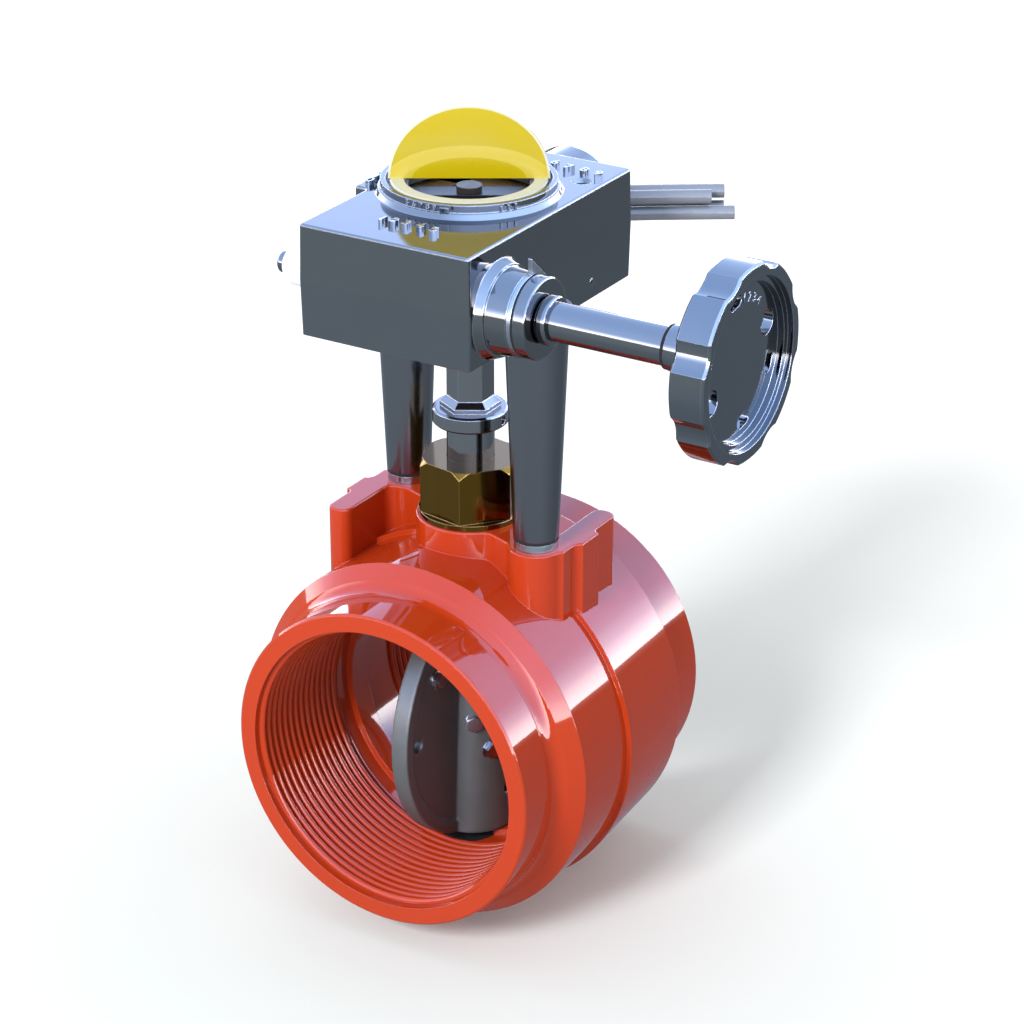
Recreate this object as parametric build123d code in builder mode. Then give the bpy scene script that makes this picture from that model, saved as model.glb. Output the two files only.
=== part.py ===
import os
from math import atan2, cos, degrees, radians, sin, tan

from build123d import *

os.makedirs("parts", exist_ok=True)

# Frame: origin at the centre of the inlet face, +Y with the flow, +Z up, +X to the handwheel

# Shared clearances
running_gap = 0.05
moving_gap = 0.4
seat_gap = 0.1

# Threaded body
body_length = 87.0
stem_y = body_length / 2
lip_radius = 42.3
lip_length = 12.3
neck_radius = 44.8
neck_y = 15.9
collar_radius = 48.2
collar_y = 18.9
seam_reach = 3.7
seam_y = stem_y - seam_reach
seam_low_radius = 47.9
seam_high_radius = 49.2
far_collar_radius = 47.5
body_edge = 0.5
port_radius = 37.6
disc_bay_half = 3.5
port_depth = stem_y - disc_bay_half
port_mouth = 8.5
port_taper = 1 / 32

# Pad on top of the body, drawn about the stem axis
pad_top = 54.4
pad_root = 30.0
boss_radius = 13.9
leg_x = 24.5
leg_y = -9.2
leg_boss_radius = 6.9
bridge_width = 9.6
arm_outer = 32.4
arm_inner = 26.2
arm_tip = 17.4
arm_start = -9.2
arm_round = 2.7
key_outer = 34.2
key_start = -2.8
key_end = 4.9
pad_fillet = 2.4
pad_edge = 0.5

# Stem and its seals
stem_radius = 6.0
stem_bottom = -43.6
stem_top = 82.2
sleeve_radius = 8.5
upper_sleeve_low = 37.2
upper_sleeve_high = 43.4
lower_sleeve_top = -36.9
lower_sleeve_bottom = -44.2
lower_seal_radius = 9.2
lower_seal_top = -35.7
gland_thread_radius = 10.2
gland_thread_low = 44.4
gland_flange_radius = 13.2
gland_flange_top = 55.8
gland_hex_radius = 13.24
gland_hex_turn = 49.3
gland_top = 69.7
gland_chamfer = 1.1
ring_section = 2.2
ring_low_z = 48.2
ring_high_z = 52.0

# Disc, drawn about the stem with its plane along local X
disc_turn = 90.0
disc_radius = 34.6
disc_rim = 4.6
disc_web = 3.6
disc_rim_width = 3.4
disc_rim_round = 0.8
disc_hub_top_radius = 7.9
disc_hub_low_radius = 11.4
disc_seat_gap = 0.3
disc_hole_radius = 1.9
disc_hole_x = -28.4
disc_hole_z = 0.6
land_radius = disc_radius + disc_seat_gap
disc_pin_radius = 1.6
disc_pin_z = 22.0
disc_pin_length = 17.0
stem_chamfer = 0.8

# Drive between stem and worm wheel
coupling_low = 78.8
coupling_collar_top = 83.0
coupling_collar_radius = 9.5
coupling_hex_radius = 7.6
coupling_hex_top = 84.2
coupling_cone_top = 85.7
drive_hex_radius = 5.9
drive_hex_top = 126.2
spindle_radius = 4.0
spindle_top = 137.2
coupling_pin_z = 80.9
coupling_pin_radius = 1.1
coupling_pin_inset = 1.0
coupling_chamfer = 0.5

# Support posts
post_low_radius = 5.65
post_high_radius = 7.8
post_low = 57.3
foot_radius = 5.45
foot_top = 56.5
post_gasket_radius = 5.6
stud_radius = 3.0
stud_low = 45.0

# Gear housing
case_low = 111.3
case_high = 139.0
case_left = -21.5
case_right = 25.9
case_front_reach = 41.65
case_front = stem_y - case_front_reach
case_back_reach = 34.4
case_back = stem_y + case_back_reach
step_left = -25.5
step_reach = 12.4
step_y = stem_y - step_reach
case_draft = 1.5
case_corner = 1.4
case_edge = 0.6
case_wall = 2.3
roof_thickness = 2.4
case_roof = case_high - roof_thickness
lug_radius = 8.6
lug_top = 117.0
turret_base_radius = 22.65
turret_step_radius = 21.9
turret_radius = 21.4
turret_step = 140.3
turret_top = 142.3
turret_bore = 20.0
window_radius = 17.6
hub_x = 4.5
hub_z = 126.0
hub_radius = 13.0
hub_reach = 41.0
hub_end = stem_y + hub_reach
conduit_radius = 7.6
conduit_z = 121.4
roof_post_radius = 2.8
roof_post_right = 20.0
roof_post_left = -15.9
roof_post_front_reach = 13.3
roof_post_front = stem_y - roof_post_front_reach
roof_post_back_reach = 19.3
roof_post_back = stem_y + roof_post_back_reach
roof_screw_radius = 1.6
roof_screw_sink = 2.4

# Bottom cover, bushings and stops
cover_thickness = 2.0
cover_boss_radius = 13.2
cover_boss_top = 116.6
wheel_hub_radius = 8.5
hub_sleeve_radius = 10.5
stop_radius = 2.2
stop_centre_radius = 17.0
stop_low = 118.4
stop_open_angle = 21.5
stop_closed_angle = 158.5

# Worm and worm wheel sector
module = 1.0
wheel_teeth = 40
pitch = module * 3.14159265
wheel_radius = module * wheel_teeth / 2
tooth_reach = 0.7
tooth_thickness = 0.95
flank_angle = 10.0
mesh_gap = 0.5
wheel_low = 120.3
wheel_high = 125.3
sector_angle = 315.0
cam_angle = 180.0
sector_half = 57.0
sector_steps = 6
wheel_web_radius = 13.6
worm_reach = 28.1
worm_y = stem_y - worm_reach
worm_z = 122.8
worm_pitch_radius = stem_y - worm_y - wheel_radius
worm_turns = 7
worm_end = 1.5
worm_hub_length = 6.0

# Worm shaft, bearings and cap
shaft_radius = 4.65
shaft_end = 80.6
inner_shaft_radius = 3.6
tip_radius = 2.7
tip_end = -35.5
tip_round = 0.8
plug_low_x = -30.8
plug_nose_x = -33.3
plug_radius = 5.0
plug_nose_radius = 3.3
flare_radius = 13.0
boss_ring_radius = 11.1
boss_ring_x = 28.0
boss_end_radius = 10.1
boss_end_x = 33.4
bush_radius = 7.0
plate_thickness = 1.1
plate_radius = 9.95
plate_corner_up = 13.9
plate_corner_back = 15.4
gasket_thickness = 0.6
cap_radius = 9.85
cap_front = 38.2
collar_gap = 0.4
shoulder_radius = 5.9
shoulder_length = 2.6
worm_pin_radius = 1.0

# Handwheel
rim_radius = 23.3
rim_back = 82.8
rim_front = 91.4
notch_count = 8
notch_angle = 70.0
notch_radius = 7.5
notch_depth = 1.2
dish_radius = 20.3
dish_depth = 1.5
web_radius = 18.6
web_depth = 3.2
back_recess = 3.0
wheel_hub = 7.4
wheel_hub_back = 71.6
wheel_hub_neck = 5.4
hub_ring_radius = 5.3
hub_ring_thickness = 0.8
big_hole_radius = 3.1
big_hole_centre = 14.0
big_hole_angle = 22.5
slot_radius = 1.6
slot_length = 5.6
slot_centre = 15.2
wheel_pin_x = 76.0
wheel_pin_radius = 1.3
rim_edge = 0.5
slot_angles = (100, 162, 280, 342)

# Switches and cam
bracket_drop = 7.5
bracket_thickness = 1.5
bracket_high = case_roof - bracket_drop
bracket_low = bracket_high - bracket_thickness
bracket_front_reach = 16.9
bracket_front = stem_y - bracket_front_reach
bracket_back_reach = 27.9
bracket_back = stem_y + bracket_back_reach
spindle_sleeve_radius = 6.5
cam_low = 130.5
cam_high = 134.2
cam_radius = 8.0
cam_heel_radius = 6.4
cam_half = 28.0
switch_length = 19.8
switch_height = 10.2
switch_thickness = 6.4
switch_offset = 1.0
plunger_radius = 1.1
plunger_out = 1.8
plunger_tail = 2.6
plunger_stroke = 1.0
plunger_z = 132.3

# Position indicator
flag_turn = 31.35
bar_low = 137.5
bar_high = 138.6
bar_width = 6.4
bar_reach = 16.6
bar_tab = 2.0
ring_inner = 15.65
ring_outer = 19.1
ring_under = 140.4
ring_face = 142.0
flag_half_width = 19.4
flag_height = 18.0
flag_thickness = 1.4
screw_head_radius = 3.1
screw_head_height = 1.6
screw_shank_radius = 1.6

# Leads
lead_radius = 1.8
lead_pitch = 4.3
lead_start_reach = 34.9
lead_start = stem_y + lead_start_reach
lead_corner_reach = 50.1
lead_corner = stem_y + lead_corner_reach
lead_heading = 57.0
lead_length = 35.5
lead_short = 6.0
lead_row_high = 123.6
gland_face_reach = 38.9
gland_face = stem_y + gland_face_reach
gland_inner_reach = 32.9
gland_inner = stem_y + gland_inner_reach

low = (Align.CENTER, Align.CENTER, Align.MIN)
stem_plane = Plane(origin=(0, stem_y, 0))
shaft_plane = Plane(origin=(0, worm_y, worm_z), x_dir=(0, 1, 0), z_dir=(1, 0, 0))
disc_x = (cos(radians(disc_turn)), sin(radians(disc_turn)), 0)
disc_normal = (sin(radians(disc_turn)), -cos(radians(disc_turn)), 0)
disc_flat = Plane(origin=(0, stem_y, 0), x_dir=disc_x, z_dir=disc_normal)
flag_x = (cos(radians(flag_turn)), sin(radians(flag_turn)), 0)
flag_normal = (sin(radians(flag_turn)), -cos(radians(flag_turn)), 0)
hex_plane = Plane(origin=(0, stem_y, 0), x_dir=flag_x, z_dir=(0, 0, 1))
sector_x = (cos(radians(sector_angle)), sin(radians(sector_angle)), 0)
cam_x = (cos(radians(cam_angle)), sin(radians(cam_angle)), 0)
sector_plane = Plane(origin=(0, stem_y, 0), x_dir=sector_x, z_dir=(0, 0, 1))
cam_plane = Plane(origin=(0, stem_y, 0), x_dir=cam_x, z_dir=(0, 0, 1))
right_leg = Plane(origin=(leg_x, stem_y + leg_y, 0))
left_leg = Plane(origin=(-leg_x, stem_y - leg_y, 0))
hub_plane = Plane(origin=(hub_x, 0, hub_z), x_dir=(1, 0, 0), z_dir=(0, 1, 0))
conduit_plane = Plane(origin=(hub_x, 0, conduit_z), x_dir=(1, 0, 0), z_dir=(0, 1, 0))
worm_half = pitch * worm_turns / 2
inner_shaft_start = case_left + case_wall + moving_gap
worm_cross = Plane(origin=(worm_half + worm_hub_length / 2, worm_y, worm_z))
wheel_cross = Plane(origin=(wheel_pin_x, worm_y, worm_z))
flag_plane = Plane(origin=(0, stem_y, 0), x_dir=flag_x, z_dir=(0, 0, 1))
flag_upright = Plane(origin=(0, stem_y, 0), x_dir=flag_x, z_dir=flag_normal)
plunger_left = Plane(origin=(0, stem_y, plunger_z), x_dir=(0, 1, 0), z_dir=(-1, 0, 0))
plunger_back = Plane(origin=(0, stem_y, plunger_z), x_dir=(1, 0, 0), z_dir=(0, 1, 0))
thread_plane = Plane(origin=(-worm_half, worm_y, worm_z), x_dir=(0, 1, 0), z_dir=(1, 0, 0))
roof_posts = (
    (roof_post_right, roof_post_front),
    (roof_post_right, roof_post_back),
    (roof_post_left, roof_post_front),
    (roof_post_left, roof_post_back),
)
stop_places = [
    (stop_centre_radius * cos(radians(angle)), stem_y + stop_centre_radius * sin(radians(angle)))
    for angle in (stop_open_angle, stop_closed_angle)
]
leg_places = ((leg_x, leg_y), (-leg_x, -leg_y))


def rod(plane, radius, start, end, mode=Mode.ADD):
    with Locations(plane.offset(start)):
        Cylinder(radius, end - start, align=low, mode=mode)


def taper_rod(plane, first, last, start, end, mode=Mode.ADD):
    with Locations(plane.offset(start)):
        Cone(first, last, end - start, align=low, mode=mode)


def disc_flat_at(z):
    return Plane(origin=(0, stem_y, z), x_dir=disc_x, z_dir=disc_normal)


def block(x0, x1, y0, y1, z0, z1, mode=Mode.ADD):
    with Locations(((x0 + x1) / 2, (y0 + y1) / 2, (z0 + z1) / 2)):
        Box(x1 - x0, y1 - y0, z1 - z0, mode=mode)


# One arm of the pad: leg boss, bridge to the centre, upright arm and its key
with BuildSketch() as pad_arm:
    with Locations(((arm_inner + arm_outer) / 2, (arm_start + arm_tip) / 2)):
        Rectangle(arm_outer - arm_inner, arm_tip - arm_start)
    fillet(pad_arm.vertices().group_by(Axis.Y)[-1], arm_round)
    with Locations(((arm_inner + key_outer) / 2, (key_start + key_end) / 2)):
        Rectangle(key_outer - arm_inner, key_end - key_start)
    with Locations((leg_x, leg_y)):
        Circle(leg_boss_radius)
    with Locations((leg_x / 2, leg_y / 2)):
        Rectangle(leg_x, bridge_width, rotation=degrees(atan2(leg_y, leg_x)))


# Valve body: turned shell with a cast pad, two ports and a seat land
with BuildPart() as valve_body:
    with BuildSketch(Plane.XY) as shell:
        with BuildLine():
            Line((0, 0), (lip_radius - body_edge, 0))
            Line((lip_radius - body_edge, 0), (lip_radius, body_edge))
            Line((lip_radius, body_edge), (lip_radius, lip_length))
            TangentArc((lip_radius, lip_length), (neck_radius, neck_y), tangent=(0, 1))
            Line((neck_radius, neck_y), (collar_radius, collar_y))
            Line((collar_radius, collar_y), (seam_low_radius, seam_y))
            Line((seam_low_radius, seam_y), (seam_high_radius, seam_y))
            Line((seam_high_radius, seam_y), (far_collar_radius, body_length - collar_y))
            Line((far_collar_radius, body_length - collar_y), (neck_radius, body_length - neck_y))
            TangentArc(
                (lip_radius, body_length - lip_length),
                (neck_radius, body_length - neck_y),
                tangent=(0, -1),
            )
            Line((lip_radius, body_length - lip_length), (lip_radius, body_length - body_edge))
            Line((lip_radius, body_length - body_edge), (lip_radius - body_edge, body_length))
            Line((lip_radius - body_edge, body_length), (0, body_length))
            Line((0, body_length), (0, 0))
        make_face()
    revolve(axis=Axis.Y)
    with BuildSketch(stem_plane.offset(pad_root)) as pad:
        Circle(boss_radius)
        add(pad_arm.sketch)
        add(pad_arm.sketch, rotation=180)
        offset(amount=pad_fillet)
        offset(amount=-pad_fillet)
    extrude(amount=pad_top - pad_root)
    fillet(valve_body.faces().sort_by(Axis.Z)[-1].edges(), pad_edge)
    with BuildSketch(Plane.XY) as waterway:
        with BuildLine():
            Polyline(
                (0, 0),
                (port_radius, 0),
                (port_radius, port_mouth),
                (port_radius - (port_depth - port_mouth) * port_taper, port_depth),
                (land_radius, port_depth),
                (land_radius, stem_y),
                (0, stem_y),
                close=True,
            )
        make_face()
        mirror(about=Plane.XZ.offset(-stem_y))
    revolve(axis=Axis.Y, mode=Mode.SUBTRACT)
    rod(stem_plane, gland_thread_radius, gland_thread_low, stem_top, mode=Mode.SUBTRACT)
    rod(stem_plane, sleeve_radius, upper_sleeve_low, pad_top, mode=Mode.SUBTRACT)
    rod(stem_plane, stem_radius + moving_gap, 0, pad_top, mode=Mode.SUBTRACT)
    rod(stem_plane, sleeve_radius, lower_sleeve_bottom, 0, mode=Mode.SUBTRACT)
    rod(stem_plane, lower_seal_radius, lower_sleeve_top, 0, mode=Mode.SUBTRACT)
    for place in leg_places:
        with Locations((place[0], stem_y + place[1], stud_low)):
            Cylinder(stud_radius, pad_top - stud_low, align=low, mode=Mode.SUBTRACT)
valve_body.part.label = "valve_body"
export_step(valve_body.part, "parts/valve_body.step")


# Stem guides, seals and gland
with BuildPart() as upper_bushing:
    rod(stem_plane, sleeve_radius, upper_sleeve_low, upper_sleeve_high)
    rod(stem_plane, stem_radius + running_gap, upper_sleeve_low, upper_sleeve_high, mode=Mode.SUBTRACT)
upper_bushing.part.label = "upper_bushing"
export_step(upper_bushing.part, "parts/upper_bushing.step")

with BuildPart() as lower_bushing:
    rod(stem_plane, sleeve_radius, lower_sleeve_bottom, lower_sleeve_top)
    rod(stem_plane, stem_radius + running_gap, stem_bottom - moving_gap, lower_sleeve_top, mode=Mode.SUBTRACT)
lower_bushing.part.label = "lower_bushing"
export_step(lower_bushing.part, "parts/lower_bushing.step")

with BuildPart() as lower_seal:
    rod(stem_plane, lower_seal_radius, lower_sleeve_top, lower_seal_top)
    rod(stem_plane, stem_radius + running_gap, lower_sleeve_top, lower_seal_top, mode=Mode.SUBTRACT)
lower_seal.part.label = "lower_seal"
export_step(lower_seal.part, "parts/lower_seal.step")

groove_radius = stem_radius + running_gap + ring_section
with BuildPart() as gland_nut:
    rod(stem_plane, gland_thread_radius, gland_thread_low, pad_top)
    rod(stem_plane, gland_flange_radius, pad_top, gland_flange_top)
    with BuildSketch(stem_plane.offset(gland_flange_top)):
        RegularPolygon(gland_hex_radius, 6, rotation=gland_hex_turn)
    extrude(amount=gland_top - gland_flange_top)
    with BuildSketch(Plane(origin=(0, stem_y, gland_top), z_dir=(0, 0, -1))) as crown:
        Circle(gland_hex_radius - gland_chamfer)
    extrude(amount=gland_top - gland_flange_top, taper=-32, mode=Mode.INTERSECT)
    rod(stem_plane, gland_thread_radius, gland_thread_low, pad_top)
    rod(stem_plane, gland_flange_radius, pad_top, gland_flange_top)
    rod(stem_plane, stem_radius + running_gap, gland_thread_low, gland_top, mode=Mode.SUBTRACT)
    for z in (ring_low_z, ring_high_z):
        rod(stem_plane, groove_radius, z - ring_section / 2, z + ring_section / 2, mode=Mode.SUBTRACT)
gland_nut.part.label = "gland_nut"
export_step(gland_nut.part, "parts/gland_nut.step")

with BuildPart() as stem_ring_low:
    with Locations((0, stem_y, ring_low_z)):
        Torus(groove_radius - ring_section / 2, ring_section / 2)
stem_ring_low.part.label = "stem_ring_low"
export_step(stem_ring_low.part, "parts/stem_ring_low.step")

with BuildPart() as stem_ring_high:
    with Locations((0, stem_y, ring_high_z)):
        Torus(groove_radius - ring_section / 2, ring_section / 2)
stem_ring_high.part.label = "stem_ring_high"
export_step(stem_ring_high.part, "parts/stem_ring_high.step")


# Disc: crowned rim, thinner web, tapered hub blended into the web and a through hole
with BuildPart() as disc:
    with BuildSketch(disc_flat.offset(-disc_rim / 2)):
        Circle(disc_radius)
    extrude(amount=disc_rim)
    for side in (-1, 1):
        with BuildSketch(disc_flat.offset(side * disc_web / 2)):
            Circle(disc_radius - disc_rim_width)
        extrude(amount=side * disc_rim, mode=Mode.SUBTRACT)
    fillet(disc.edges().filter_by(GeomType.CIRCLE).group_by(Axis.X)[0], disc_rim_round / 2)
    fillet(disc.edges().filter_by(GeomType.CIRCLE).group_by(Axis.X)[-1], disc_rim_round / 2)
    taper_rod(stem_plane, disc_hub_low_radius, disc_hub_top_radius, -disc_radius, disc_radius)
    with Locations((0, stem_y, 0)):
        Sphere(disc_radius, mode=Mode.INTERSECT)
    rod(stem_plane, stem_radius, -disc_radius, disc_radius, mode=Mode.SUBTRACT)
    with BuildSketch(disc_flat.offset(-disc_rim)):
        with Locations((disc_hole_x, disc_hole_z)):
            Circle(disc_hole_radius)
    extrude(amount=disc_rim * 2, mode=Mode.SUBTRACT)
    for z in (-disc_pin_z, disc_pin_z):
        rod(disc_flat_at(z), disc_pin_radius, -disc_hub_low_radius, disc_hub_low_radius, mode=Mode.SUBTRACT)
disc.part.label = "disc"
export_step(disc.part, "parts/disc.step")

with BuildPart() as disc_pin_high:
    rod(disc_flat_at(disc_pin_z), disc_pin_radius, -disc_pin_length / 2, disc_pin_length / 2)
disc_pin_high.part.label = "disc_pin_high"
export_step(disc_pin_high.part, "parts/disc_pin_high.step")

with BuildPart() as disc_pin_low:
    rod(disc_flat_at(-disc_pin_z), disc_pin_radius, -disc_pin_length / 2, disc_pin_length / 2)
disc_pin_low.part.label = "disc_pin_low"
export_step(disc_pin_low.part, "parts/disc_pin_low.step")

with BuildPart() as stem:
    rod(stem_plane, stem_radius, stem_bottom, stem_top)
    for z in (-disc_pin_z, disc_pin_z):
        rod(disc_flat_at(z), disc_pin_radius, -stem_radius, stem_radius, mode=Mode.SUBTRACT)
    rod(disc_flat_at(coupling_pin_z), coupling_pin_radius, -stem_radius, stem_radius, mode=Mode.SUBTRACT)
    chamfer(stem.edges().filter_by(GeomType.CIRCLE).group_by(Axis.Z)[0], stem_chamfer)
stem.part.label = "stem"
export_step(stem.part, "parts/stem.step")


# Drive coupling: round collar, hex shoulder, hex bar and round spindle
with BuildPart() as drive_coupling:
    rod(stem_plane, coupling_collar_radius, coupling_low, coupling_collar_top)
    chamfer(drive_coupling.edges().filter_by(GeomType.CIRCLE), coupling_chamfer)
    with BuildSketch(hex_plane.offset(coupling_collar_top)):
        RegularPolygon(coupling_hex_radius, 6)
    extrude(amount=coupling_hex_top - coupling_collar_top)
    with BuildSketch(hex_plane.offset(coupling_hex_top)):
        RegularPolygon(coupling_hex_radius, 6)
    with BuildSketch(hex_plane.offset(coupling_cone_top)):
        RegularPolygon(drive_hex_radius, 6)
    loft()
    with BuildSketch(hex_plane.offset(coupling_cone_top)):
        RegularPolygon(drive_hex_radius, 6)
    extrude(amount=drive_hex_top - coupling_cone_top)
    rod(stem_plane, spindle_radius, drive_hex_top, spindle_top)
    rod(stem_plane, stem_radius, coupling_low, stem_top, mode=Mode.SUBTRACT)
    rod(
        disc_flat_at(coupling_pin_z),
        coupling_pin_radius,
        -coupling_collar_radius,
        coupling_collar_radius,
        mode=Mode.SUBTRACT,
    )
drive_coupling.part.label = "drive_coupling"
export_step(drive_coupling.part, "parts/drive_coupling.step")

with BuildPart() as coupling_pin:
    pin_half = coupling_collar_radius - coupling_pin_inset
    rod(disc_flat_at(coupling_pin_z), coupling_pin_radius, -pin_half, pin_half)
coupling_pin.part.label = "coupling_pin"
export_step(coupling_pin.part, "parts/coupling_pin.step")


# Support posts, one tapered post with stud and gasket on each leg boss
with BuildPart() as support_post_right:
    taper_rod(right_leg, post_low_radius, post_high_radius, post_low, case_low)
    rod(right_leg, stud_radius, post_low, case_low, mode=Mode.SUBTRACT)
support_post_right.part.label = "support_post_right"
export_step(support_post_right.part, "parts/support_post_right.step")

with BuildPart() as support_post_left:
    taper_rod(left_leg, post_low_radius, post_high_radius, post_low, case_low)
    rod(left_leg, stud_radius, post_low, case_low, mode=Mode.SUBTRACT)
support_post_left.part.label = "support_post_left"
export_step(support_post_left.part, "parts/support_post_left.step")

with BuildPart() as post_stud_right:
    rod(right_leg, stud_radius, stud_low, lug_top - case_wall)
    rod(right_leg, foot_radius, pad_top, foot_top)
post_stud_right.part.label = "post_stud_right"
export_step(post_stud_right.part, "parts/post_stud_right.step")

with BuildPart() as post_stud_left:
    rod(left_leg, stud_radius, stud_low, lug_top - case_wall)
    rod(left_leg, foot_radius, pad_top, foot_top)
post_stud_left.part.label = "post_stud_left"
export_step(post_stud_left.part, "parts/post_stud_left.step")

with BuildPart() as post_gasket_right:
    rod(right_leg, post_gasket_radius, foot_top, post_low)
    rod(right_leg, stud_radius, foot_top, post_low, mode=Mode.SUBTRACT)
post_gasket_right.part.label = "post_gasket_right"
export_step(post_gasket_right.part, "parts/post_gasket_right.step")

with BuildPart() as post_gasket_left:
    rod(left_leg, post_gasket_radius, foot_top, post_low)
    rod(left_leg, stud_radius, foot_top, post_low, mode=Mode.SUBTRACT)
post_gasket_left.part.label = "post_gasket_left"
export_step(post_gasket_left.part, "parts/post_gasket_left.step")


# Gear housing: drafted box with a side step, lugs, turret, worm boss and conduit hub
case_middle = (case_low + case_high) / 2
with BuildSketch(Plane.XY.offset(case_middle)) as case_plan:
    with BuildLine():
        Polyline(
            (case_left, case_front),
            (case_right, case_front),
            (case_right, case_back),
            (step_left, case_back),
            (step_left, step_y),
            (case_left, step_y),
            close=True,
        )
    make_face()
    fillet(case_plan.vertices(), case_corner)

with BuildSketch(Plane.XY.offset(case_low)) as cavity_plan:
    with BuildLine():
        Polyline(
            (case_left + case_wall, case_front + case_wall),
            (case_right - case_wall, case_front + case_wall),
            (case_right - case_wall, case_back - case_wall),
            (step_left + case_wall, case_back - case_wall),
            (step_left + case_wall, step_y + case_wall),
            (case_left + case_wall, step_y + case_wall),
            close=True,
        )
    make_face()

with BuildPart() as gear_housing:
    add(case_plan.sketch)
    extrude(amount=case_high - case_middle, taper=case_draft)
    add(case_plan.sketch)
    extrude(amount=case_low - case_middle, taper=case_draft)
    fillet(gear_housing.faces().sort_by(Axis.Z)[-1].edges(), case_edge)
    taper_rod(stem_plane, turret_base_radius, turret_step_radius, case_high, turret_step)
    rod(stem_plane, turret_radius, turret_step, turret_top)
    taper_rod(shaft_plane, flare_radius, boss_ring_radius, case_right - case_wall, boss_ring_x)
    block(0, boss_end_x, 0, body_length, cover_boss_radius, case_low, mode=Mode.SUBTRACT)
    taper_rod(shaft_plane, boss_ring_radius - case_edge, boss_end_radius, boss_ring_x, boss_end_x)
    rod(hub_plane, hub_radius, case_back - case_wall, hub_end)
    for place in leg_places:
        with Locations((place[0], stem_y + place[1], case_low)):
            Cylinder(lug_radius, lug_top - case_low, align=low)
    add(extrude(cavity_plan.sketch, case_roof - case_low), mode=Mode.SUBTRACT)
    for place in leg_places:
        with Locations((place[0], stem_y + place[1], case_low)):
            Cylinder(lug_radius, lug_top - case_low, align=low)
            Cylinder(stud_radius, lug_top - case_wall - case_low, align=low, mode=Mode.SUBTRACT)
    for x, y in roof_posts:
        with Locations((x, y, bracket_high)):
            Cylinder(roof_post_radius, case_roof - bracket_high, align=low)
    rod(stem_plane, window_radius, case_roof, turret_top, mode=Mode.SUBTRACT)
    rod(stem_plane, turret_bore, case_high, turret_top, mode=Mode.SUBTRACT)
    with Locations((roof_post_right, roof_post_back, case_high)):
        CounterSinkHole(roof_screw_radius, roof_screw_sink, depth=case_high - bracket_high)
    rod(shaft_plane, bush_radius, 0, boss_end_x, mode=Mode.SUBTRACT)
    rod(shaft_plane, plug_radius, case_left - case_wall, 0, mode=Mode.SUBTRACT)
    rod(conduit_plane, conduit_radius, case_back - case_wall * 2, hub_end, mode=Mode.SUBTRACT)
gear_housing.part.label = "gear_housing"
export_step(gear_housing.part, "parts/gear_housing.step")


# Bottom cover with its bearing boss, bushing and the two travel stops of the bracket
with BuildPart() as bottom_cover:
    with BuildSketch(Plane.XY.offset(case_low)):
        add(cavity_plan.sketch.moved(Location((0, 0, -case_low))))
        offset(amount=-seat_gap)
    extrude(amount=cover_thickness)
    rod(stem_plane, cover_boss_radius, case_low, cover_boss_top)
    rod(stem_plane, hub_sleeve_radius, case_low, cover_boss_top, mode=Mode.SUBTRACT)
    for place in leg_places:
        with Locations((place[0], stem_y + place[1], case_low)):
            Cylinder(lug_radius + seat_gap, lug_top - case_low, align=low, mode=Mode.SUBTRACT)
bottom_cover.part.label = "bottom_cover"
export_step(bottom_cover.part, "parts/bottom_cover.step")

with BuildPart() as hub_bushing:
    rod(stem_plane, hub_sleeve_radius, case_low, cover_boss_top)
    rod(stem_plane, wheel_hub_radius + running_gap, case_low, cover_boss_top, mode=Mode.SUBTRACT)
hub_bushing.part.label = "hub_bushing"
export_step(hub_bushing.part, "parts/hub_bushing.step")

with BuildPart() as stop_pin_open:
    with Locations((*stop_places[0], stop_low)):
        Cylinder(stop_radius, bracket_high - stop_low, align=low)
stop_pin_open.part.label = "stop_pin_open"
export_step(stop_pin_open.part, "parts/stop_pin_open.step")

with BuildPart() as stop_pin_closed:
    with Locations((*stop_places[1], stop_low)):
        Cylinder(stop_radius, bracket_high - stop_low, align=low)
stop_pin_closed.part.label = "stop_pin_closed"
export_step(stop_pin_closed.part, "parts/stop_pin_closed.step")


# Worm wheel sector: hub with a hex bore, web and straight-flanked teeth
tooth_lean = tan(radians(flank_angle))
tip_half = tooth_thickness / 2 - tooth_reach * tooth_lean
tip_circle = wheel_radius + tooth_reach
root_circle = wheel_radius - tooth_reach - mesh_gap
root_half = tooth_thickness / 2 + (tooth_reach + mesh_gap) * tooth_lean
with BuildPart() as worm_wheel:
    rod(stem_plane, wheel_hub_radius, case_low + seat_gap, drive_hex_top)
    rod(stem_plane, wheel_web_radius, wheel_low, wheel_high)
    with BuildSketch(sector_plane.offset(wheel_low)):
        with BuildLine():
            CenterArc((0, 0), root_circle, -sector_half, sector_half * 2)
            Line((0, 0), (root_circle * cos(radians(sector_half)), root_circle * sin(radians(sector_half))))
            Line((0, 0), (root_circle * cos(radians(sector_half)), -root_circle * sin(radians(sector_half))))
        make_face()
        for step in range(-sector_steps, sector_steps + 1):
            with Locations(Location((0, 0), step * 360 / wheel_teeth)):
                with BuildLine(mode=Mode.PRIVATE) as tooth:
                    Polyline(
                        (root_circle - tooth_reach, -root_half),
                        (root_circle, -root_half),
                        (tip_circle, -tip_half),
                        (tip_circle, tip_half),
                        (root_circle, root_half),
                        (root_circle - tooth_reach, root_half),
                        close=True,
                    )
                add(make_face(tooth.line, mode=Mode.PRIVATE))
    extrude(amount=wheel_high - wheel_low)
    with BuildSketch(hex_plane.offset(case_low)):
        RegularPolygon(drive_hex_radius, 6)
    extrude(amount=case_high - case_low, mode=Mode.SUBTRACT)
worm_wheel.part.label = "worm_wheel"
export_step(worm_wheel.part, "parts/worm_wheel.step")


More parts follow.
